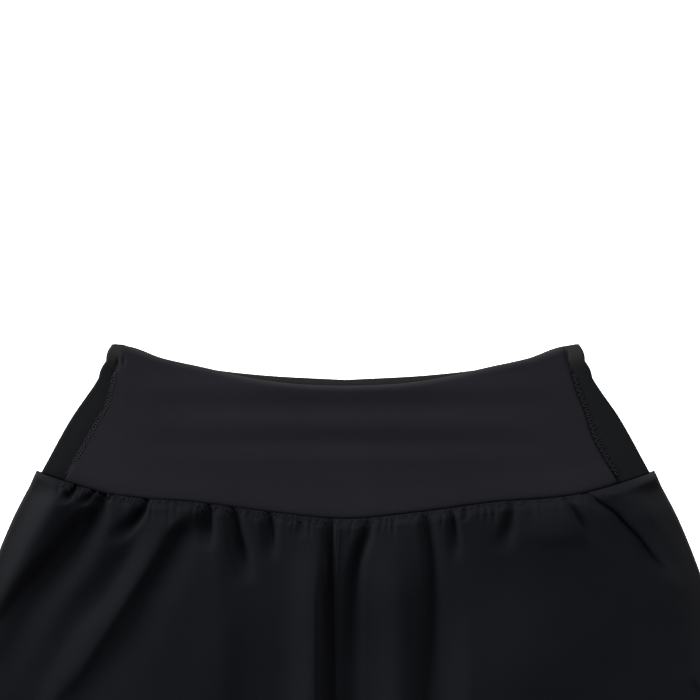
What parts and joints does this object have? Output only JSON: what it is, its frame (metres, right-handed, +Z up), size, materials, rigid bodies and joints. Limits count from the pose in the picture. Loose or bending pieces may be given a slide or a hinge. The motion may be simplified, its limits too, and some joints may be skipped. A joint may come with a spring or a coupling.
{
  "type": "running shorts",
  "caption": "Loose running shorts laid flat, front up: wide smooth waist yoke, elasticated back waist band lapping round the sides, and gathered flared legs.",
  "frame": {"origin": "centre of the garment's outline, on the surface that it lies on", "axes": "+X across the garment, +Y from the hems to the waist, +Z up, from the back of the shorts to the front"},
  "size_m": [0.606, 0.405, 0.0167],
  "materials": {
    "yoke_knit": "smooth matte stretch knit",
    "band_knit": "matte ribbed stretch knit",
    "leg_cloth": "light plain woven cloth, soft sheen"
  },
  "bodies": {
    "root": {"front_yoke": "yoke_knit", "back_band": "band_knit", "front_leg_left": "leg_cloth", "front_leg_right": "leg_cloth", "back_leg_left": "leg_cloth", "back_leg_right": "leg_cloth"}
  },
  "joints": []
}
